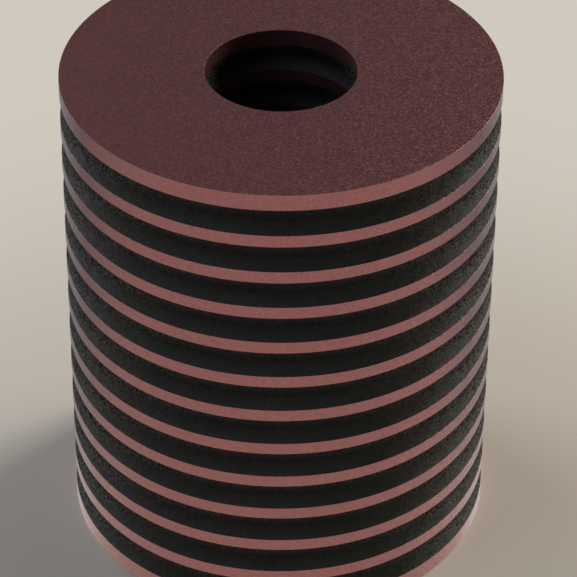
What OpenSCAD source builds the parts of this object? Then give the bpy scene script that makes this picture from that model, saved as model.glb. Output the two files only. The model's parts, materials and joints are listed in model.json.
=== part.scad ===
// Laminated rubber spring: flat steel rings with rubber rings bonded between them on one upright axis.
// The origin is the centre of the underside, +Z runs up the bore, and every length is in millimetres.

/* [Stack] */
// Number of rubber layers
rubber_layers = 12; // [2:1:24]
// Thickness of one rubber layer
rubber_t = 13; // [8:0.5:24]
// Thickness of each plate between two rubber layers
inner_plate_t = 6; // [3:0.5:12]
// Thickness of the plate at each end of the stack
end_plate_t = 8; // [4:0.5:20]

/* [Diameters] */
// Outer diameter of the plates
outer_d = 200; // [140:1:320]
// Diameter of the bore through the plates, which takes a guide rod
bore_d = 69; // [30:0.5:110]

/* [Edges] */
// Chamfer that takes the sharpness off each plate edge
edge_break = 0.3; // [0.1:0.1:1]
// Depth by which the outer edge of a rubber layer is drawn in at mid height
outer_draw = 1.5; // [0.4:0.1:3]
// Depth by which the edge of a rubber layer in the bore is drawn back at mid height
bore_draw = 1.5; // [0.4:0.1:3]

/* [Hidden] */
$fn = 180;
steel_colour = "#7a504c";
rubber_colour = "#1d201f";

outer_r = outer_d / 2;
bore_r = bore_d / 2;
inner_plates = rubber_layers - 1;
layer_pitch = rubber_t + inner_plate_t;
top_plate_z = end_plate_t + inner_plates * layer_pitch + rubber_t;

// The rubber is bonded to the flat of each plate, up to where its chamfers begin
bond_outer_r = outer_r - edge_break;
bond_bore_r = bore_r + edge_break;

// Rubber layers and inner plates are numbered from the bottom of the stack
function two_digits(number) = str(number < 10 ? "0" : "", number);
function rubber_name(level) = str("rubber_layer_", two_digits(level));
function plate_name(level) = str("inner_plate_", two_digits(level));

// Height of the underside of each level's rubber layer, and of the plate that lies on it
function rubber_z(level) = end_plate_t + (level - 1) * layer_pitch;
function plate_z(level) = rubber_z(level) + rubber_t;

// Radius of the arc that runs through both ends of a chord and lies depth away from its middle
function arc_radius(chord, depth) = (chord * chord / 4 + depth * depth) / (2 * depth);

// Half section of a plate, with a chamfer at each of its four corners
function plate_section(thickness) = [
    [bond_bore_r, 0],
    [bond_outer_r, 0],
    [outer_r, edge_break],
    [outer_r, thickness - edge_break],
    [bond_outer_r, thickness],
    [bond_bore_r, thickness],
    [bore_r, thickness - edge_break],
    [bore_r, edge_break]
];

module plate_ring(thickness) {
    rotate_extrude()
        polygon(plate_section(thickness));
}

// Disc whose arc meets both bond lines of a free edge and hollows the edge by depth at mid height.
// side is 1 at the outer edge of a layer and -1 at its edge in the bore.
module drawn_edge(bond_r, depth, side) {
    arc_r = arc_radius(rubber_t, depth);
    translate([bond_r + side * (arc_r - depth), rubber_t / 2])
        circle(r = arc_r);
}

// Bonded rubber shrinks as it cools in the mould, so both free edges are drawn in between the plates
module rubber_ring() {
    rotate_extrude()
        difference() {
            translate([bond_bore_r, 0])
                square([bond_outer_r - bond_bore_r, rubber_t]);
            drawn_edge(bond_outer_r, outer_draw, 1);
            drawn_edge(bond_bore_r, bore_draw, -1);
        }
}

module bottom_end_plate() {
    color(steel_colour)
        plate_ring(end_plate_t);
}

module inner_plate(level) {
    color(steel_colour)
        translate([0, 0, plate_z(level)])
            plate_ring(inner_plate_t);
}

module rubber_layer(level) {
    color(rubber_colour)
        translate([0, 0, rubber_z(level)])
            rubber_ring();
}

module top_end_plate() {
    color(steel_colour)
        translate([0, 0, top_plate_z])
            plate_ring(end_plate_t);
}

bottom_end_plate();
for (level = [1 : rubber_layers])
    rubber_layer(level);
for (level = [1 : inner_plates])
    inner_plate(level);
top_end_plate();
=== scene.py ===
"""Dresses the laminated rubber spring and stands it on a pale studio floor.

Thirteen primed steel rings and twelve black rubber rings are swept round the bore's axis by two node
trees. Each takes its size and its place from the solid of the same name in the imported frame, and is
shown in that solid's stead.
"""

from __future__ import annotations

import json
import logging
import math
from abc import ABC, abstractmethod
from dataclasses import dataclass, field, replace
from enum import Enum

import bpy
from mathutils import Matrix, Vector

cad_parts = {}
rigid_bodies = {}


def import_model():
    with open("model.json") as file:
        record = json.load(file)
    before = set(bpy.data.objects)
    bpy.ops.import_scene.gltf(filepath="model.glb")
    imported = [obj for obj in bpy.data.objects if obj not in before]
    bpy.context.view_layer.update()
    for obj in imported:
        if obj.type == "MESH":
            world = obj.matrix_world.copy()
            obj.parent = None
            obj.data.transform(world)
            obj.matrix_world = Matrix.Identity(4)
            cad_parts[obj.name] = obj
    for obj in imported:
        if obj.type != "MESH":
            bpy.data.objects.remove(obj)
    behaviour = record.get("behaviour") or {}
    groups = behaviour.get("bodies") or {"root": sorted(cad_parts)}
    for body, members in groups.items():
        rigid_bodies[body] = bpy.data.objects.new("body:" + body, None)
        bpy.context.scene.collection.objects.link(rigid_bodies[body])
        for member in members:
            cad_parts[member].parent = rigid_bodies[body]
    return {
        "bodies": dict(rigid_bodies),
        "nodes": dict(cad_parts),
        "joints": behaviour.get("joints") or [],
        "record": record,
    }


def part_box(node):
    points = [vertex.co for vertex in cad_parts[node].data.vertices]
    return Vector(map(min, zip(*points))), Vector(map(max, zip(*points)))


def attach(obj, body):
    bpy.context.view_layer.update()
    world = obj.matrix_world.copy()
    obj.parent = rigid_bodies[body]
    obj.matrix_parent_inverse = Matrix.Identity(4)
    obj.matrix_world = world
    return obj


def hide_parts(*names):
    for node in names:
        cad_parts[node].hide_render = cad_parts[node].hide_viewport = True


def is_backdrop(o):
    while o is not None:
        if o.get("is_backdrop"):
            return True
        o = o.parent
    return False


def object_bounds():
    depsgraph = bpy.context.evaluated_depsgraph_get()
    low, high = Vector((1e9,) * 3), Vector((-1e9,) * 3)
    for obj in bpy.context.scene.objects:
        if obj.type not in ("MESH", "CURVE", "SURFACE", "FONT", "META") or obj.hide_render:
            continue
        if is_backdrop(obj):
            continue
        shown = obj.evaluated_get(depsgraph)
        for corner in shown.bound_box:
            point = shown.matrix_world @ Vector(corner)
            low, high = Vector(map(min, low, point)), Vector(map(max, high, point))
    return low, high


LOG = logging.getLogger("spring")

MM = 0.001
ROOT_BODY = "root"
GUIDE_BORE = "guide_bore"

Tree = bpy.types.NodeTree
Socket = bpy.types.NodeSocket


class Slot(Enum):
    """The record's material slots."""

    STEEL = "plate_steel"
    RUBBER = "rubber"


class Family(Enum):
    """What the names of each kind of ring have in common in the frame."""

    END_PLATE = "end_plate"
    INNER_PLATE = "inner_plate"
    RUBBER_LAYER = "rubber_layer"


def linear(colour: str) -> tuple[float, float, float, float]:
    """Turns an sRGB hex colour into the linear values that shaders work in.

    Args:
        colour: The colour as "#RRGGBB".

    Returns:
        Red, green, blue and an alpha of 1.
    """
    shares = [int(colour[start : start + 2], 16) / 255 for start in (1, 3, 5)]
    levels = [s / 12.92 if s <= 0.04045 else ((s + 0.055) / 1.055) ** 2.4 for s in shares]
    return (*levels, 1.0)


def add_node(tree: Tree, kind: str, sockets: dict | None = None, **settings: object) -> bpy.types.Node:
    """Adds one node with its settings, its plain values and its links.

    Args:
        tree: The tree that the node goes into.
        kind: The node's type, such as ShaderNodeMath.
        sockets: For an input's name or number, the value it holds or the output it is linked to.
        **settings: The node's own settings, such as operation.

    Returns:
        The new node.
    """
    node = tree.nodes.new(kind)
    for name, value in settings.items():
        setattr(node, name, value)
    for key, value in (sockets or {}).items():
        if isinstance(value, Socket):
            tree.links.new(value, node.inputs[key])
        else:
            node.inputs[key].default_value = value
    return node


def new_material(name: str) -> tuple[bpy.types.Material, Tree]:
    """Starts a material with no nodes.

    Args:
        name: The material's name.

    Returns:
        The material and its empty tree.
    """
    material = bpy.data.materials.new(name)
    material.use_nodes = True
    material.node_tree.nodes.clear()
    return material, material.node_tree


@dataclass(frozen=True)
class Grit:
    """Grain of a blasted face: small facets, each leaning its own way.

    A facet that leans towards a lamp glitters and its neighbour stays dark, so the grain shows most
    where light grazes the surface and hardly at all where the light is even. Real grit leaves dents
    of a tenth of a millimetre or two. They wouldn't show at the size of the picture, so the facets
    are drawn as coarse as they need to be.
    """

    size: float
    lean: float
    finer_layers: float = 1.0
    finer_share: float = 0.6

    def build(self, tree: Tree, place: Socket, share: Socket) -> tuple[Socket, Socket]:
        """Adds the grain's nodes.

        Args:
            tree: The material's tree.
            place: The coordinates in metres.
            share: How much of the full lean the facets have.

        Returns:
            Each facet's level from 0 to 1, and the facets' normals.
        """
        cells = add_node(
            tree,
            "ShaderNodeTexVoronoi",
            {
                "Vector": place,
                "Scale": 1 / self.size,
                "Detail": self.finer_layers,
                "Roughness": self.finer_share,
            },
            normalize=True,
        ).outputs
        level = add_node(tree, "ShaderNodeSeparateColor", {"Color": cells["Color"]}).outputs["Red"]
        either_way = add_node(
            tree,
            "ShaderNodeVectorMath",
            {0: cells["Color"], 1: (0.5, 0.5, 0.5)},
            operation="SUBTRACT",
        ).outputs["Vector"]
        reach = add_node(
            tree,
            "ShaderNodeMath",
            {0: share, 1: 2 * self.lean},
            operation="MULTIPLY",
        ).outputs[0]
        lean = add_node(
            tree,
            "ShaderNodeVectorMath",
            {"Vector": either_way, "Scale": reach},
            operation="SCALE",
        ).outputs["Vector"]
        normal = add_node(tree, "ShaderNodeNewGeometry").outputs["Normal"]
        tipped = add_node(tree, "ShaderNodeVectorMath", {0: normal, 1: lean}, operation="ADD")
        facets = add_node(
            tree,
            "ShaderNodeVectorMath",
            {0: tipped.outputs["Vector"]},
            operation="NORMALIZE",
        )
        return level, facets.outputs["Vector"]


@dataclass(frozen=True)
class PrimedSteel:
    """Oxide primer with metal flake, sprayed on grit-blasted steel plate.

    The flake mirrors the floor and the room softly through the clear binder, so the rims, which face
    the floor, are much lighter than the top. The grit tips each bit of flake its own way, and that
    gives the faces their fine glitter.
    """

    # The film, a little lighter in patches where the spray lies thin
    film: str = "#804849"
    thin_film: str = "#864E4E"
    patch: float = 30 * MM
    patch_detail: float = 4.0
    patch_roughness: float = 0.55
    # Flecks of flake, which are pinker and lighter than the film
    fleck: str = "#B46E74"
    fleck_levels: tuple[float, float] = (0.25, 0.85)
    fleck_share: float = 0.6
    # The flake makes the film nearly a metal, and the binder gives it a satin shine
    metallic: float = 0.9
    roughness: float = 0.33
    roughness_spread: float = 0.06
    binder: float = 1.0
    binder_roughness: float = 0.35
    # The rims are cut and ground, and so they have less of the grit than the faces
    grit: Grit = Grit(size=0.74 * MM, lean=0.2)
    rim_grit: float = 0.6
    rim_levels: tuple[float, float] = (0.3, 0.9)
    # Painted shade: the bore's wall takes a darker film, and it is also less metallic than the faces
    painted_bore_shade: str = "#704648"
    bore_metallic: float = 0.55
    bore_facings: tuple[float, float] = (-0.1, -0.6)
    # Painted sheen: the rims' colour turns pale where they are seen edge on, in place of a glancing
    # reflection
    painted_sheen_colour: str = "#C6C0BD"
    painted_sheen_slants: tuple[float, float] = (0.66, 0.95)
    painted_sheen_share: float = 0.85
    # The broken edges are rubbed through to dark, dull steel
    edge: str = "#3F302E"
    edge_slopes: tuple[float, float] = (0.03, 0.15)
    edge_roughness: float = 0.75
    wear: float = 0.9

    def grit_share(self, tree: Tree, flat: Socket) -> Socket:
        """Gives how much of the grit's full lean a place has.

        Args:
            tree: The material's tree.
            flat: 1 where the surface lies flat and 0 where it stands upright.

        Returns:
            The share, from that of the rims to 1 on the faces.
        """
        start, end = self.rim_levels
        return add_node(
            tree,
            "ShaderNodeMapRange",
            {"Value": flat, "From Min": start, "From Max": end, "To Min": self.rim_grit},
        ).outputs["Result"]

    def in_bore(self, tree: Tree, place: Socket, normal: Socket) -> Socket:
        """Finds the wall of the bore, which faces the axis.

        Args:
            tree: The material's tree.
            place: The coordinates in metres, with the axis at x and y 0.
            normal: The way the surface faces.

        Returns:
            1 on the wall of the bore and 0 elsewhere.
        """
        away = add_node(
            tree,
            "ShaderNodeVectorMath",
            {0: place, 1: (1.0, 1.0, 0.0)},
            operation="MULTIPLY",
        ).outputs["Vector"]
        spoke = add_node(tree, "ShaderNodeVectorMath", {0: away}, operation="NORMALIZE").outputs["Vector"]
        facing = add_node(
            tree,
            "ShaderNodeVectorMath",
            {0: spoke, 1: normal},
            operation="DOT_PRODUCT",
        ).outputs["Value"]
        start, end = self.bore_facings
        return add_node(
            tree,
            "ShaderNodeMapRange",
            {"Value": facing, "From Min": start, "From Max": end},
        ).outputs["Result"]

    def worn(self, tree: Tree, flat: Socket, upright: Socket) -> Socket:
        """Finds the broken edges, which are neither flat nor upright.

        Args:
            tree: The material's tree.
            flat: 1 where the surface lies flat and 0 where it stands upright.
            upright: The opposite.

        Returns:
            How much of the film is rubbed off.
        """
        slope = add_node(tree, "ShaderNodeMath", {0: flat, 1: upright}, operation="MULTIPLY").outputs[0]
        start, end = self.edge_slopes
        return add_node(
            tree,
            "ShaderNodeMapRange",
            {"Value": slope, "From Min": start, "From Max": end, "To Max": self.wear},
        ).outputs["Result"]

    def sprayed(self, tree: Tree, place: Socket, grain: Socket, share: Socket) -> Socket:
        """Colours the film as sprayed: its patches and its flecks.

        Args:
            tree: The material's tree.
            place: The coordinates in metres.
            grain: The level of each facet of the grit.
            share: How much of the grit a place has.

        Returns:
            The colour.
        """
        patches = add_node(
            tree,
            "ShaderNodeTexNoise",
            {
                "Vector": place,
                "Scale": 1 / self.patch,
                "Detail": self.patch_detail,
                "Roughness": self.patch_roughness,
            },
        ).outputs["Fac"]
        body = add_node(
            tree,
            "ShaderNodeMix",
            {"Factor": patches, "A": linear(self.film), "B": linear(self.thin_film)},
            data_type="RGBA",
        ).outputs["Result"]
        start, end = self.fleck_levels
        flecks = add_node(
            tree,
            "ShaderNodeMapRange",
            {"Value": grain, "From Min": start, "From Max": end, "To Max": self.fleck_share},
        ).outputs["Result"]
        shown = add_node(tree, "ShaderNodeMath", {0: flecks, 1: share}, operation="MULTIPLY").outputs[0]
        return add_node(
            tree,
            "ShaderNodeMix",
            {"Factor": shown, "A": body, "B": linear(self.fleck)},
            data_type="RGBA",
        ).outputs["Result"]

    def add_painted_sheen(self, tree: Tree, colour: Socket, upright: Socket) -> Socket:
        """Paints a pale sheen into the rims' colour where they are seen edge on.

        Args:
            tree: The material's tree.
            colour: The film's colour so far.
            upright: 1 where the surface stands upright and 0 where it lies flat.

        Returns:
            The new colour.
        """
        slant = add_node(tree, "ShaderNodeLayerWeight", {"Blend": 0.5}).outputs["Facing"]
        start, end = self.painted_sheen_slants
        painted_sheen_level = add_node(
            tree,
            "ShaderNodeMapRange",
            {"Value": slant, "From Min": start, "From Max": end, "To Max": self.painted_sheen_share},
        ).outputs["Result"]
        on_rims = add_node(tree, "ShaderNodeMath", {0: painted_sheen_level, 1: upright}, operation="MULTIPLY")
        return add_node(
            tree,
            "ShaderNodeMix",
            {"Factor": on_rims.outputs[0], "A": colour, "B": linear(self.painted_sheen_colour)},
            data_type="RGBA",
        ).outputs["Result"]

    def shine(self, tree: Tree, grain: Socket, worn: Socket) -> Socket:
        """Gives the roughness, which changes with each facet and is highest on the worn edges.

        Args:
            tree: The material's tree.
            grain: The level of each facet of the grit.
            worn: How much of the film is rubbed off.

        Returns:
            The roughness.
        """
        satin = add_node(
            tree,
            "ShaderNodeMapRange",
            {
                "Value": grain,
                "To Min": self.roughness - self.roughness_spread,
                "To Max": self.roughness + self.roughness_spread,
            },
        ).outputs["Result"]
        return add_node(
            tree,
            "ShaderNodeMix",
            {"Factor": worn, "A": satin, "B": self.edge_roughness},
            data_type="FLOAT",
        ).outputs["Result"]

    def material(self) -> bpy.types.Material:
        """Builds the primer as a material.

        Returns:
            The finished material.
        """
        material, tree = new_material("oxide_primed_steel")
        coords = add_node(tree, "ShaderNodeTexCoord").outputs
        rise = add_node(tree, "ShaderNodeSeparateXYZ", {0: coords["Normal"]}).outputs["Z"]
        flat = add_node(tree, "ShaderNodeMath", {0: rise}, operation="ABSOLUTE").outputs[0]
        upright = add_node(tree, "ShaderNodeMath", {0: 1.0, 1: flat}, operation="SUBTRACT").outputs[0]
        share = self.grit_share(tree, flat)
        grain, facets = self.grit.build(tree, coords["Object"], share)
        in_bore = self.in_bore(tree, coords["Object"], coords["Normal"])
        worn = self.worn(tree, flat, upright)
        flake = add_node(
            tree,
            "ShaderNodeMix",
            {"Factor": in_bore, "A": self.metallic, "B": self.bore_metallic},
            data_type="FLOAT",
        ).outputs["Result"]
        # The film's colour, with a painted sheen on the rims where they are seen edge on
        film = self.add_painted_sheen(tree, self.sprayed(tree, coords["Object"], grain, share), upright)
        # Painted shade: the wall of the bore takes the darker film
        film_with_painted_bore_shade = add_node(
            tree,
            "ShaderNodeMix",
            {"Factor": in_bore, "A": film, "B": linear(self.painted_bore_shade)},
            data_type="RGBA",
        ).outputs["Result"]
        colour = add_node(
            tree,
            "ShaderNodeMix",
            {"Factor": worn, "A": film_with_painted_bore_shade, "B": linear(self.edge)},
            data_type="RGBA",
        ).outputs["Result"]
        surface = add_node(
            tree,
            "ShaderNodeBsdfPrincipled",
            {
                "Base Color": colour,
                "Metallic": flake,
                "Roughness": self.shine(tree, grain, worn),
                "Normal": facets,
                "Coat Weight": self.binder,
                "Coat Roughness": self.binder_roughness,
                "Coat Normal": facets,
            },
        )
        add_node(tree, "ShaderNodeOutputMaterial", {"Surface": surface.outputs["BSDF"]})
        return material


@dataclass(frozen=True)
class MouldedRubber:
    """Natural rubber filled with carbon black, cured in a blasted mould.

    It is nearly black and mirrors hardly anything. What shows is a faint sheen and the mould's coarse
    grain, and both grow as the surface is seen more at a slant.
    """

    # Painted light: where the drawn-in edge faces up, the colour is lighter, in uneven patches
    compound: str = "#0D0E0E"
    painted_upward_light: str = "#484B49"
    painted_light_facings: tuple[float, float] = (-0.1, 0.4)
    patch: float = 18 * MM
    patch_detail: float = 5.0
    patch_roughness: float = 0.6
    patch_levels: tuple[float, float] = (0.3, 0.7)
    patch_shares: tuple[float, float] = (0.85, 1.15)
    # Cured rubber is dull, with the soft sheen of its fine dust
    roughness: float = 0.5
    roughness_spread: float = 0.04
    specular: float = 0.05
    sheen: float = 0.195
    sheen_roughness: float = 0.5
    sheen_colour: str = "#E6E3DA"
    # Seen from ahead the grain hardly shows, and its facets lean far more at a slant
    grain: Grit = Grit(size=0.8 * MM, lean=1.2)
    grain_slants: tuple[float, float] = (0.48, 0.8)
    grain_shares: tuple[float, float] = (0.22, 1.6)

    def colour_with_painted_light(self, tree: Tree, place: Socket, normal: Socket) -> Socket:
        """Colours the compound, with painted light that makes it lighter where it faces up.

        Args:
            tree: The material's tree.
            place: The coordinates in metres.
            normal: The way the surface faces.

        Returns:
            The colour.
        """
        clouds = add_node(
            tree,
            "ShaderNodeTexNoise",
            {
                "Vector": place,
                "Scale": 1 / self.patch,
                "Detail": self.patch_detail,
                "Roughness": self.patch_roughness,
            },
        ).outputs["Fac"]
        low_level, high_level = self.patch_levels
        low_share, high_share = self.patch_shares
        patches = add_node(
            tree,
            "ShaderNodeMapRange",
            {
                "Value": clouds,
                "From Min": low_level,
                "From Max": high_level,
                "To Min": low_share,
                "To Max": high_share,
            },
        ).outputs["Result"]
        rise = add_node(tree, "ShaderNodeSeparateXYZ", {0: normal}).outputs["Z"]
        start, end = self.painted_light_facings
        # Painted light: the more the surface faces up, the lighter its colour
        facing_up = add_node(
            tree,
            "ShaderNodeMapRange",
            {"Value": rise, "From Min": start, "From Max": end},
        ).outputs["Result"]
        share = add_node(tree, "ShaderNodeMath", {0: facing_up, 1: patches}, operation="MULTIPLY")
        return add_node(
            tree,
            "ShaderNodeMix",
            {"Factor": share.outputs[0], "A": linear(self.compound), "B": linear(self.painted_upward_light)},
            data_type="RGBA",
        ).outputs["Result"]

    def grain_share(self, tree: Tree) -> Socket:
        """Gives how much of the grain's full lean shows.

        Args:
            tree: The material's tree.

        Returns:
            The share, which grows with the slant that the surface is seen at.
        """
        slant = add_node(tree, "ShaderNodeLayerWeight", {"Blend": 0.5}).outputs["Facing"]
        start, end = self.grain_slants
        ahead, aslant = self.grain_shares
        return add_node(
            tree,
            "ShaderNodeMapRange",
            {"Value": slant, "From Min": start, "From Max": end, "To Min": ahead, "To Max": aslant},
        ).outputs["Result"]

    def material(self) -> bpy.types.Material:
        """Builds the rubber as a material.

        Returns:
            The finished material.
        """
        material, tree = new_material("moulded_black_rubber")
        coords = add_node(tree, "ShaderNodeTexCoord").outputs
        grain, facets = self.grain.build(tree, coords["Object"], self.grain_share(tree))
        shine = add_node(
            tree,
            "ShaderNodeMapRange",
            {
                "Value": grain,
                "To Min": self.roughness - self.roughness_spread,
                "To Max": self.roughness + self.roughness_spread,
            },
        ).outputs["Result"]
        surface = add_node(
            tree,
            "ShaderNodeBsdfPrincipled",
            {
                "Base Color": self.colour_with_painted_light(tree, coords["Object"], coords["Normal"]),
                "Roughness": shine,
                "Normal": facets,
                "Specular IOR Level": self.specular,
                "Sheen Weight": self.sheen,
                "Sheen Roughness": self.sheen_roughness,
                "Sheen Tint": linear(self.sheen_colour),
            },
        )
        add_node(tree, "ShaderNodeOutputMaterial", {"Surface": surface.outputs["BSDF"]})
        return material


@dataclass(frozen=True)
class RingSize:
    """The size and place of one ring of the stack, in metres."""

    outer_r: float
    bore_r: float
    low: float
    high: float

    @property
    def thickness(self) -> float:
        """The ring's height along the bore."""
        return self.high - self.low

    @property
    def wall(self) -> float:
        """The ring's width from its bore to its rim."""
        return self.outer_r - self.bore_r

    @property
    def middle_r(self) -> float:
        """The radius halfway between the bore and the rim."""
        return (self.outer_r + self.bore_r) / 2

    @property
    def middle_z(self) -> float:
        """The height halfway up the ring."""
        return (self.high + self.low) / 2


COMMON_INPUTS = {
    "Middle radius": "NodeSocketFloat",
    "Middle height": "NodeSocketFloat",
    "Wall": "NodeSocketFloat",
    "Thickness": "NodeSocketFloat",
    "Steps round": "NodeSocketInt",
    "Material": "NodeSocketMaterial",
}


class RingTree:
    """A node tree that sweeps a closed section round the bore's axis."""

    def __init__(self, name: str, own_inputs: dict[str, str]) -> None:
        """Starts a tree with its named inputs and the rectangle that its section is made from.

        Args:
            name: The tree's name.
            own_inputs: Each input that only this tree has, with its socket type.
        """
        self.tree = bpy.data.node_groups.new(name, "GeometryNodeTree")
        self.sockets: dict[str, str] = {}
        for label, kind in (COMMON_INPUTS | own_inputs).items():
            item = self.tree.interface.new_socket(name=label, in_out="INPUT", socket_type=kind)
            self.sockets[label] = item.identifier
        self.tree.interface.new_socket(name="Ring", in_out="OUTPUT", socket_type="NodeSocketGeometry")
        self.given = add_node(self.tree, "NodeGroupInput").outputs
        self.block = add_node(
            self.tree,
            "GeometryNodeCurvePrimitiveQuadrilateral",
            {"Width": self.given["Wall"], "Height": self.given["Thickness"]},
            mode="RECTANGLE",
        ).outputs["Curve"]

    def sweep(self, section: Socket, crease: float) -> None:
        """Sweeps the section round the axis, shades it and sets it at its height.

        Args:
            section: The closed section, centred on the ring's middle radius and height.
            crease: The angle in radians past which an edge stays sharp.
        """
        circle = add_node(
            self.tree,
            "GeometryNodeCurvePrimitiveCircle",
            {"Resolution": self.given["Steps round"], "Radius": self.given["Middle radius"]},
        ).outputs["Curve"]
        ring = add_node(
            self.tree,
            "GeometryNodeCurveToMesh",
            {"Curve": circle, "Profile Curve": section},
        ).outputs["Mesh"]
        angle = add_node(self.tree, "GeometryNodeInputMeshEdgeAngle").outputs["Unsigned Angle"]
        sharp = add_node(
            self.tree,
            "FunctionNodeCompare",
            {"A": angle, "B": crease},
            data_type="FLOAT",
            operation="GREATER_THAN",
        ).outputs["Result"]
        smooth = add_node(
            self.tree,
            "GeometryNodeSetShadeSmooth",
            {"Geometry": ring, "Shade Smooth": True},
            domain="FACE",
        ).outputs["Geometry"]
        creased = add_node(
            self.tree,
            "GeometryNodeSetShadeSmooth",
            {"Geometry": smooth, "Selection": sharp, "Shade Smooth": False},
            domain="EDGE",
        ).outputs["Geometry"]
        lift = add_node(
            self.tree,
            "ShaderNodeCombineXYZ",
            {"Z": self.given["Middle height"]},
        ).outputs["Vector"]
        placed = add_node(
            self.tree,
            "GeometryNodeTransform",
            {"Geometry": creased, "Translation": lift},
        ).outputs["Geometry"]
        whole = add_node(
            self.tree,
            "GeometryNodeRealizeInstances",
            {"Geometry": placed},
        ).outputs["Geometry"]
        dressed = add_node(
            self.tree,
            "GeometryNodeSetMaterial",
            {"Geometry": whole, "Material": self.given["Material"]},
        ).outputs["Geometry"]
        add_node(self.tree, "NodeGroupOutput", {"Ring": dressed})

    def piece(self, name: str, values: dict[str, object]) -> bpy.types.Object:
        """Evaluates the tree once and keeps what it makes as a plain mesh.

        Args:
            name: The name of the new piece.
            values: The value of each named input.

        Returns:
            An object at the origin that holds the mesh, with no modifier.
        """
        carrier = bpy.data.objects.new(name + "_carrier", bpy.data.meshes.new(name + "_carrier"))
        bpy.context.scene.collection.objects.link(carrier)
        modifier = carrier.modifiers.new("ring", "NODES")
        modifier.node_group = self.tree
        for label, value in values.items():
            modifier[self.sockets[label]] = value
        graph = bpy.context.evaluated_depsgraph_get()
        mesh = bpy.data.meshes.new_from_object(
            carrier.evaluated_get(graph),
            preserve_all_data_layers=True,
            depsgraph=graph,
        )
        mesh.name = name
        bpy.data.objects.remove(carrier)
        piece = bpy.data.objects.new(name, mesh)
        bpy.context.scene.collection.objects.link(piece)
        return piece


@dataclass
class RingSet(ABC):
    """Rings of one kind, each swept at the size of its own solid."""

    finish: PrimedSteel | MouldedRubber
    slot: Slot
    made: str
    steps_round: int = 288

    @abstractmethod
    def tree(self) -> RingTree:
        """Builds the tree that sweeps this kind of ring."""

    @abstractmethod
    def own_values(self) -> dict[str, object]:
        """Gives the inputs that only this kind of ring has."""

    def values(self, size: RingSize, material: bpy.types.Material) -> dict[str, object]:
        """Gives the value of each of the tree's inputs.

        Args:
            size: The ring's size and place.
            material: What the ring is made of.

        Returns:
            Each input's name, with its value.
        """
        common = {
            "Middle radius": size.middle_r,
            "Middle height": size.middle_z,
            "Wall": size.wall,
            "Thickness": size.thickness,
            "Steps round": self.steps_round,
            "Material": material,
        }
        return common | self.own_values()

    def seat(self, piece: bpy.types.Object, node: str) -> None:
        """Puts a finished ring in its solid's stead.

        Args:
            piece: The ring.
            node: The solid that it stands for.
        """
        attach(piece, ROOT_BODY)
        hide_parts(node)
        LOG.info("%s: %d faces for %s", piece.name, len(piece.data.polygons), node)

    def build(self, sizes: dict[str, RingSize]) -> None:
        """Sweeps and seats each ring.

        Args:
            sizes: Each solid's name, with the size of its ring.
        """
        rings = self.tree()
        material = self.finish.material()
        for node, size in sizes.items():
            self.seat(rings.piece(f"{self.made}_{node}", self.values(size, material)), node)


@dataclass
class SteelPlates(RingSet):
    """The plates: flat rings cut from rolled plate, with each edge broken by a small radius."""

    finish: PrimedSteel = field(default_factory=PrimedSteel)
    slot: Slot = Slot.STEEL
    made: str = "primed"
    edge_r: float = 0.1 * MM
    edge_steps: int = 2
    crease: float = math.radians(5)

    def tree(self) -> RingTree:
        """Builds the tree: a rectangle with rounded corners, swept round the axis.

        Returns:
            The tree.
        """
        inputs = {"Edge radius": "NodeSocketFloat", "Edge steps": "NodeSocketInt"}
        rings = RingTree("steel_plate_ring", inputs)
        section = add_node(
            rings.tree,
            "GeometryNodeFilletCurve",
            {
                "Curve": rings.block,
                "Count": rings.given["Edge steps"],
                "Radius": rings.given["Edge radius"],
            },
            mode="POLY",
        ).outputs["Curve"]
        rings.sweep(section, self.crease)
        return rings

    def own_values(self) -> dict[str, object]:
        """Gives the radius of the broken edges and the steps it is drawn in."""
        return {"Edge radius": self.edge_r, "Edge steps": self.edge_steps}


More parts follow.
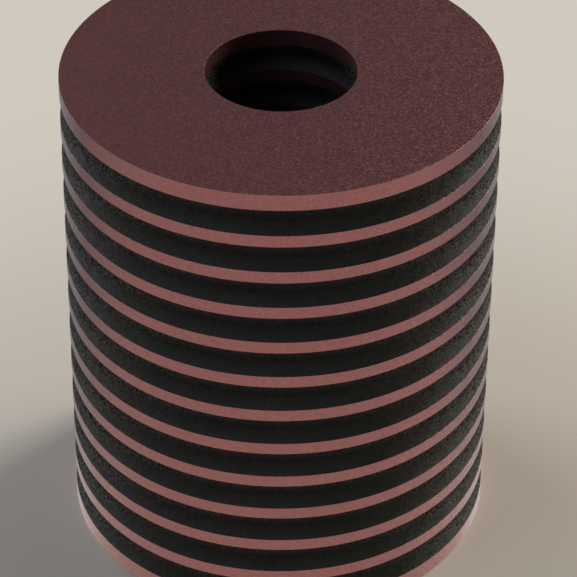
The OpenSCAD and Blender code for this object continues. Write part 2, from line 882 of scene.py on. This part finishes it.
@dataclass
class RubberLayers(RingSet):
    """The rubber: rings whose free edges are drawn in between the plates that they are bonded to."""

    finish: MouldedRubber = field(default_factory=MouldedRubber)
    slot: Slot = Slot.RUBBER
    made: str = "moulded"
    draw: float = 1.5 * MM
    cuts: int = 11
    crease: float = math.radians(30)

    def tree(self) -> RingTree:
        """Builds the tree: a rectangle whose two upright sides curve in, swept round the axis.

        Returns:
            The tree.
        """
        rings = RingTree("rubber_layer_ring", {"Draw": "NodeSocketFloat", "Cuts": "NodeSocketInt"})
        fine = add_node(
            rings.tree,
            "GeometryNodeSubdivideCurve",
            {"Curve": rings.block, "Cuts": rings.given["Cuts"]},
        ).outputs["Curve"]
        offset = add_node(rings.tree, "ShaderNodeCombineXYZ", {"X": self.drawn_in(rings)})
        section = add_node(
            rings.tree,
            "GeometryNodeSetPosition",
            {"Geometry": fine, "Offset": offset.outputs["Vector"]},
        ).outputs["Geometry"]
        rings.sweep(section, self.crease)
        return rings

    def drawn_in(self, rings: RingTree) -> Socket:
        """Works out how far each point of the section moves towards the middle of the wall.

        Args:
            rings: The tree.

        Returns:
            The shift: none at the bonds and the full draw halfway up, as on a parabola.
        """
        tree = rings.tree
        place = add_node(tree, "GeometryNodeInputPosition").outputs["Position"]
        point = add_node(tree, "ShaderNodeSeparateXYZ", {0: place}).outputs
        half = add_node(
            tree,
            "ShaderNodeMath",
            {0: rings.given["Thickness"], 1: 0.5},
            operation="MULTIPLY",
        ).outputs[0]
        level = add_node(tree, "ShaderNodeMath", {0: point["Y"], 1: half}, operation="DIVIDE").outputs[0]
        square = add_node(tree, "ShaderNodeMath", {0: level, 1: level}, operation="MULTIPLY").outputs[0]
        hollow = add_node(tree, "ShaderNodeMath", {0: square, 1: 1.0}, operation="SUBTRACT").outputs[0]
        depth = add_node(
            tree,
            "ShaderNodeMath",
            {0: hollow, 1: rings.given["Draw"]},
            operation="MULTIPLY",
        ).outputs[0]
        side = add_node(tree, "ShaderNodeMath", {0: point["X"]}, operation="SIGN").outputs[0]
        return add_node(tree, "ShaderNodeMath", {0: depth, 1: side}, operation="MULTIPLY").outputs[0]

    def own_values(self) -> dict[str, object]:
        """Gives the depth that the edges are drawn in by and the cuts that their curve is made of."""
        return {"Draw": self.draw, "Cuts": self.cuts}


@dataclass
class LaminatedSpring:
    """The whole stack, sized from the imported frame."""

    nodes: list[str]
    bore_r: float
    plates: SteelPlates = field(default_factory=SteelPlates)
    rubber: RubberLayers = field(default_factory=RubberLayers)

    @classmethod
    def from_frame(cls, frame: dict) -> LaminatedSpring:
        """Reads the stack's pieces and its bore from the frame.


        Returns:
            The spring, not built yet.
        """
        mounts = {mount["name"]: mount for mount in frame["record"]["mounts"]}
        return cls(nodes=sorted(frame["nodes"]), bore_r=mounts[GUIDE_BORE]["dims"]["r_mm"] * MM)

    @staticmethod
    def reach(node: str) -> float:
        """Gives a solid's outer radius, taken on the side where its facets reach least."""
        low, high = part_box(node)
        return min(-low.x, -low.y, high.x, high.y)

    def sizes(self, *families: Family) -> dict[str, RingSize]:
        """Sizes the rings of some families.

        Args:
            *families: The families that are wanted.

        Returns:
            Each node's name, with its ring's size.
        """
        found = {}
        for node in self.nodes:
            if any(family.value in node for family in families):
                low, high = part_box(node)
                found[node] = RingSize(self.reach(node), self.bore_r, low.z, high.z)
        return found

    def build(self) -> None:
        """Builds the plates, then the rubber bonded between their broken edges."""
        plates = self.sizes(Family.END_PLATE, Family.INNER_PLATE)
        edge = self.plates.edge_r
        outer_r = min(size.outer_r for size in plates.values()) - edge
        bonded = {
            node: replace(size, outer_r=outer_r, bore_r=self.bore_r + edge)
            for node, size in self.sizes(Family.RUBBER_LAYER).items()
        }
        self.plates.build(plates)
        self.rubber.build(bonded)


@dataclass(frozen=True)
class Softbox:
    """One square soft lamp that looks at the middle of the spring.

    The azimuth runs from the front to the right, in degrees. Lengths are in metres and the power is
    in watts.
    """

    name: str
    azimuth: float
    elevation: float
    distance: float
    side: float
    power: float
    colour: str

    def build(self, target: Vector) -> None:
        """Hangs the lamp.

        Args:
            target: The point it looks at.
        """
        turn = math.radians(self.azimuth)
        rise = math.radians(self.elevation)
        level = math.cos(rise)
        away = Vector((math.sin(turn) * level, -math.cos(turn) * level, math.sin(rise)))
        lamp = bpy.data.lights.new(self.name, "AREA")
        lamp.shape = "SQUARE"
        lamp.size = self.side
        lamp.energy = self.power
        lamp.color = linear(self.colour)[:3]
        holder = bpy.data.objects.new(self.name, lamp)
        holder.location = target + away * self.distance
        holder.rotation_euler = (-away).to_track_quat("-Z", "Y").to_euler()
        bpy.context.scene.collection.objects.link(holder)


@dataclass(frozen=True)
class Viewpoint:
    """The camera that took the picture, placed from the centre of the spring's top face.

    Lengths are in metres and angles in degrees. The focal length is in pixels of a picture that is
    image_px wide, and the sensor's width in millimetres.
    """

    distance: float = 1.329385
    elevation: float = 31.8906
    pitch: float = 36.1256
    yaw: float = 0.2066
    roll: float = 0.4495
    focal_px: float = 2950.918
    image_px: float = 577.0
    sensor: float = 36.0
    clip_start: float = 0.05
    clip_end: float = 50.0

    def axes(self) -> Matrix:
        """Gives the camera's axes.

        Returns:
            A matrix that turns the camera to look along its view.
        """
        tilt = math.radians(self.pitch)
        turn = math.radians(self.yaw)
        lean = math.radians(self.roll)
        level_share = math.cos(tilt)
        ahead = Vector((math.sin(turn) * level_share, math.cos(turn) * level_share, -math.sin(tilt)))
        level = ahead.cross(Vector((0, 0, 1))).normalized()
        upright = level.cross(ahead)
        right = level * math.cos(lean) + upright * math.sin(lean)
        up = upright * math.cos(lean) - level * math.sin(lean)
        return Matrix((right, up, -ahead)).transposed().to_4x4()

    def build(self, top: Vector) -> None:
        """Sets the camera up.

        Args:
            top: The centre of the spring's top face.
        """
        data = bpy.data.cameras.new("camera")
        data.sensor_width = self.sensor
        data.lens = self.sensor * self.focal_px / self.image_px
        data.clip_start = self.clip_start
        data.clip_end = self.clip_end
        camera = bpy.data.objects.new("camera", data)
        rise = math.radians(self.elevation)
        place = top + Vector((0, -math.cos(rise), math.sin(rise))) * self.distance
        camera.matrix_world = Matrix.Translation(place) @ self.axes()
        bpy.context.scene.collection.objects.link(camera)
        bpy.context.scene.camera = camera


@dataclass(frozen=True)
class Studio:
    """A pale floor and a dim room under soft lamps, and the camera.

    The plates mirror what is round them, and that sets their shade. So mirrored and bent rays meet
    a glowing sheet in the floor's place, with a painted shadow at its left, and a dim room, whatever
    the lamps do, and neither lights the spring in any other way. The camera alone sees the room, and
    the floor far from the spring, as one pale backdrop.
    """

    floor_colour: str = "#DFD8CD"
    floor_half: float = 6.0
    # The sheet that the plates mirror: pale in front, grey behind, and a little darker at the left as a
    # painted shadow
    front_reflected: str = "#ECE1D6"
    back_reflected: str = "#8B898B"
    back_ways: tuple[float, float] = (-0.5, 0.55)
    painted_shadow_left_strength: float = 0.9
    painted_shadow_left_ways: tuple[float, float] = (-0.4, -1.0)
    # The light that comes from all round the room, and the room as the plates mirror it
    room_light: str = "#FFF6EB"
    room_strength: float = 0.02
    room_reflected: str = "#FFE8E6"
    room_reflected_strength: float = 0.156
    # The backdrop, and how far from the axis the floor starts and ends to fade into it
    room_seen: str = "#D0CABE"
    backdrop_near: float = 0.13
    backdrop_far: float = 0.42
    # Name, azimuth, elevation, distance, side, power and colour
    lamps: tuple[Softbox, ...] = (
        Softbox("left_back_softbox", -130, 22, 1.0, 0.6, 4.4, "#F6FAFF"),
        Softbox("right_back_softbox", 130, 33, 2.0, 0.62, 21.6, "#FFFBF5"),
        Softbox("right_side_softbox", 118, 12, 1.5, 0.68, 7.7, "#FFEEDD"),
        Softbox("left_front_softbox", -50, 30, 1.4, 0.6, 1.6, "#E6F1FF"),
        Softbox("high_left_softbox", -70, 60, 2.2, 1.0, 2.4, "#DCE9FF"),
    )

    @staticmethod
    def mirrored(tree: Tree) -> Socket:
        """Tells the rays that have been mirrored or bent from the others.

        Args:
            tree: The material's or the world's tree.

        Returns:
            An output that is 1 for such a ray and 0 for any other.
        """
        ray = add_node(tree, "ShaderNodeLightPath").outputs
        either = {0: ray["Is Glossy Ray"], 1: ray["Is Transmission Ray"]}
        return add_node(tree, "ShaderNodeMath", either, operation="MAXIMUM").outputs[0]

    def sheet(self, tree: Tree, place: Socket) -> Socket:
        """Draws the sheet that stands in for the floor where it is mirrored, with a painted shadow
        towards the left.

        Args:
            tree: The floor's tree.
            place: The coordinates in metres.

        Returns:
            The sheet's shader.
        """
        side = add_node(tree, "ShaderNodeVectorMath", {0: place}, operation="NORMALIZE").outputs["Vector"]
        way = add_node(tree, "ShaderNodeSeparateXYZ", {0: side}).outputs
        start, end = self.back_ways
        behind = add_node(
            tree,
            "ShaderNodeMapRange",
            {"Value": way["Y"], "From Min": start, "From Max": end},
            interpolation_type="SMOOTHSTEP",
        ).outputs["Result"]
        colour = add_node(
            tree,
            "ShaderNodeMix",
            {"Factor": behind, "A": linear(self.front_reflected), "B": linear(self.back_reflected)},
            data_type="RGBA",
        ).outputs["Result"]
        # Painted shadow: the sheet is a little darker towards the left
        start, end = self.painted_shadow_left_ways
        shade = add_node(
            tree,
            "ShaderNodeMapRange",
            {
                "Value": way["X"],
                "From Min": start,
                "From Max": end,
                "To Min": 1.0,
                "To Max": self.painted_shadow_left_strength,
            },
        ).outputs["Result"]
        return add_node(tree, "ShaderNodeEmission", {"Color": colour, "Strength": shade}).outputs[0]

    def seen_far(self, tree: Tree, place: Socket) -> Socket:
        """Tells how far the floor has faded into the backdrop, which only the camera sees.

        Args:
            tree: The floor's tree.
            place: The coordinates in metres.

        Returns:
            0 near the spring and 1 far from it, and 0 for any ray that isn't the camera's.
        """
        reach = add_node(tree, "ShaderNodeVectorMath", {0: place}, operation="LENGTH").outputs["Value"]
        far = add_node(
            tree,
            "ShaderNodeMapRange",
            {"Value": reach, "From Min": self.backdrop_near, "From Max": self.backdrop_far},
            interpolation_type="SMOOTHSTEP",
        ).outputs["Result"]
        camera = add_node(tree, "ShaderNodeLightPath").outputs["Is Camera Ray"]
        return add_node(tree, "ShaderNodeMath", {0: far, 1: camera}, operation="MULTIPLY").outputs[0]

    def floor_paint(self) -> bpy.types.Material:
        """Paints the floor, which never counts as a lamp.

        Returns:
            The finished material.
        """
        material, tree = new_material("studio_floor_paint")
        place = add_node(tree, "ShaderNodeTexCoord").outputs["Object"]
        paint = add_node(tree, "ShaderNodeBsdfDiffuse", {"Color": linear(self.floor_colour)}).outputs[0]
        backdrop = add_node(tree, "ShaderNodeEmission", {"Color": linear(self.room_seen)}).outputs[0]
        laid = add_node(
            tree,
            "ShaderNodeMixShader",
            {0: self.seen_far(tree, place), 1: paint, 2: backdrop},
        ).outputs[0]
        shown = add_node(
            tree,
            "ShaderNodeMixShader",
            {0: self.mirrored(tree), 1: laid, 2: self.sheet(tree, place)},
        ).outputs[0]
        add_node(tree, "ShaderNodeOutputMaterial", {"Surface": shown})
        material.cycles.emission_sampling = "NONE"
        return material

    def floor(self) -> None:
        """Lays the floor."""
        half = self.floor_half
        corners = [(-half, -half, 0), (half, -half, 0), (half, half, 0), (-half, half, 0)]
        mesh = bpy.data.meshes.new("studio_floor")
        mesh.from_pydata(corners, [], [(0, 1, 2, 3)])
        mesh.materials.append(self.floor_paint())
        floor = bpy.data.objects.new("studio_floor", mesh)
        bpy.context.scene.collection.objects.link(floor)
        floor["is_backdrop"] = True

    def room(self) -> None:
        """Lights the room from all round and sets the shades that it is seen and mirrored in."""
        world = bpy.data.worlds.new("studio_room")
        world.use_nodes = True
        tree = world.node_tree
        tree.nodes.clear()
        light = add_node(
            tree,
            "ShaderNodeBackground",
            {"Color": linear(self.room_light), "Strength": self.room_strength},
        ).outputs[0]
        reflected = add_node(
            tree,
            "ShaderNodeBackground",
            {"Color": linear(self.room_reflected), "Strength": self.room_reflected_strength},
        ).outputs[0]
        seen = add_node(tree, "ShaderNodeBackground", {"Color": linear(self.room_seen)}).outputs[0]
        unseen = add_node(
            tree,
            "ShaderNodeMixShader",
            {0: self.mirrored(tree), 1: light, 2: reflected},
        ).outputs[0]
        camera = add_node(tree, "ShaderNodeLightPath").outputs["Is Camera Ray"]
        whole = add_node(tree, "ShaderNodeMixShader", {0: camera, 1: unseen, 2: seen}).outputs[0]
        add_node(tree, "ShaderNodeOutputWorld", {"Surface": whole})
        bpy.context.scene.world = world

    def build(self, low: Vector, high: Vector) -> None:
        """Sets the studio round the spring.

        Args:
            low: The lowest corner of the spring's box.
            high: The highest corner of the spring's box.
        """
        centre = (low + high) / 2
        self.floor()
        self.room()
        for lamp in self.lamps:
            lamp.build(centre)
        Viewpoint().build(Vector((0, 0, high.z)))
        bpy.context.scene.view_settings.view_transform = "Standard"


def main() -> None:
    """Builds the spring and its studio in order."""
    logging.basicConfig(level=logging.INFO, format="%(message)s")
    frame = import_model()
    cad_low, cad_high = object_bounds()
    spring = LaminatedSpring.from_frame(frame)
    spring.build()
    Studio().build(cad_low, cad_high)


if __name__ == "__main__":
    main()
